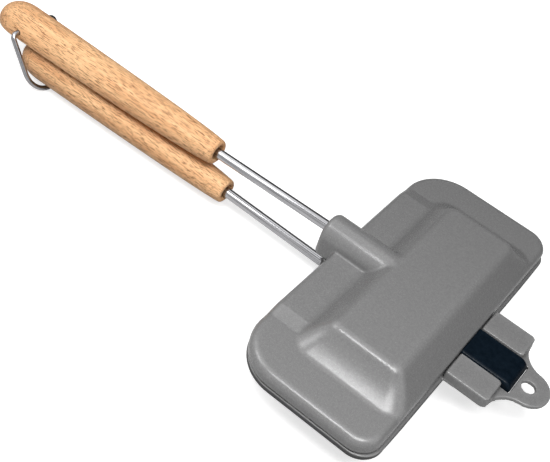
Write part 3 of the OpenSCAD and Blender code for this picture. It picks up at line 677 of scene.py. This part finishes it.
def grip_shape(start, tilt, bare, length, widest, swell, tail_length, blunt, x, y, z):
    """A turned grip on a rod that leaves its boss at start and falls by tilt.

    The grip swells from its mouth to its widest and ends in a blunt dome.
    """
    dx, dz = start[0] - x, start[1] - (z - SEAM)
    t = dx * math.cos(tilt) + dz * math.sin(tilt) - bare
    up = dx * math.sin(tilt) - dz * math.cos(tilt)
    w = np.hypot(y, up)
    share = np.clip(t, 0.01, length) / length
    r = GRIP_FRONT_R + (widest / 2 - GRIP_FRONT_R) * np.power(share, swell)
    tail = np.maximum(t - length + tail_length, 0) / tail_length
    body = (np.power(np.power(tail, blunt) + np.power(w / r, blunt), 1 / blunt) - 1) * r
    body = edge(body, -t, GRIP_EDGE)
    return soft_max(body, -edge(w - RECESS_R, t - RECESS, RECESS_ROUND), RECESS_EDGE)


def upper_grip_shape(x, y, z):
    """The upper grip, flat underneath, with the cross hole that the latch turns in."""
    body = grip_shape((UPPER_BOSS, UPPER_ROD_Z), UPPER_TILT, UPPER_BARE, UPPER_LENGTH, UPPER_WIDE,
                      UPPER_SWELL, UPPER_TAIL, UPPER_BLUNT, x, y, z)
    body = soft_max(body, FLAT_Z - (z - SEAM), GRIP_EDGE)
    hole = np.hypot(x - LATCH_X, z - SEAM - LATCH_Z)
    return soft_max(body, WIRE_R + WIRE_FIT - hole, WIRE_HOLE_EDGE)


def lower_grip_shape(x, y, z):
    """The lower grip, cut flat on top so that it clears the upper one."""
    body = grip_shape((LOWER_BOSS, -LOWER_ROD_Z), -LOWER_TILT, LOWER_BARE, LOWER_LENGTH,
                      LOWER_WIDE, LOWER_SWELL, LOWER_TAIL, LOWER_BLUNT, x, y, z)
    return soft_max(body, z - SEAM - FLAT_Z + GRIP_GAP, GRIP_EDGE)


upper_grip = cast("upper_grip_turned", upper_grip_shape, *UPPER_GRIP_BOX, GRIP_STEP, GRIP_KEEP,
                  beech)
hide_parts("upper_grip")
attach(upper_grip, "upper_half")
lower_grip = cast("lower_grip_turned", lower_grip_shape, *LOWER_GRIP_BOX, GRIP_STEP, GRIP_KEEP,
                  beech)
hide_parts("lower_grip")
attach(lower_grip, "lower_half")

# ---- latch: one length of bright steel wire ----
# Its ends turn in the cross hole of the upper grip, and its round bottom hooks under the
# lower grip to hold the pan shut. It is bent from drawn wire and left bare.
LEAN, LEG_Y, UPPER_BEND, LOWER_BEND, STUB = math.radians(30.5), 13.9, 2.5, 12.0, 2.0
LATCH_DROP, BEND_STEPS = 32.6, 12
wire_steel = brushed("drawn_wire", dark=(0.28, 0.28, 0.29, 1), light=(0.42, 0.42, 0.44, 1),
                     rough=(0.14, 0.26), per_metre=(700, 700, 700), bump=0.08)


def wire_bend(across, down, radius, start):
    """Points on a quarter turn of the wire round a centre, as across and down."""
    angles = [math.radians(start + 90 * i / BEND_STEPS) for i in range(BEND_STEPS + 1)]
    return [(across + radius * math.cos(a), down + radius * math.sin(a)) for a in angles]


side = [(STUB, 0.0)] + wire_bend(LEG_Y - UPPER_BEND, UPPER_BEND, UPPER_BEND, -90)
side += wire_bend(LEG_Y - LOWER_BEND, LATCH_DROP - LOWER_BEND, LOWER_BEND, 0)
loop = [(-a, d) for a, d in side]
path = loop + side[::-1]
wire = bpy.data.curves.new("latch_wire_loop", "CURVE")
wire.dimensions = "3D"
wire.bevel_depth = WIRE_R * MM
wire.bevel_resolution = 6
wire.use_fill_caps = True
strand = wire.splines.new("POLY")
strand.points.add(len(path) - 1)
for point, (across, down) in zip(strand.points, path):
    point.co = ((LATCH_X + down * math.sin(LEAN)) * MM, across * MM,
                (SEAM + LATCH_Z - down * math.cos(LEAN)) * MM, 1)
wire.materials.append(wire_steel)
latch = bpy.data.objects.new("latch_wire_loop", wire)
scene.collection.objects.link(latch)
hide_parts("latch_loop")
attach(latch, "latch")
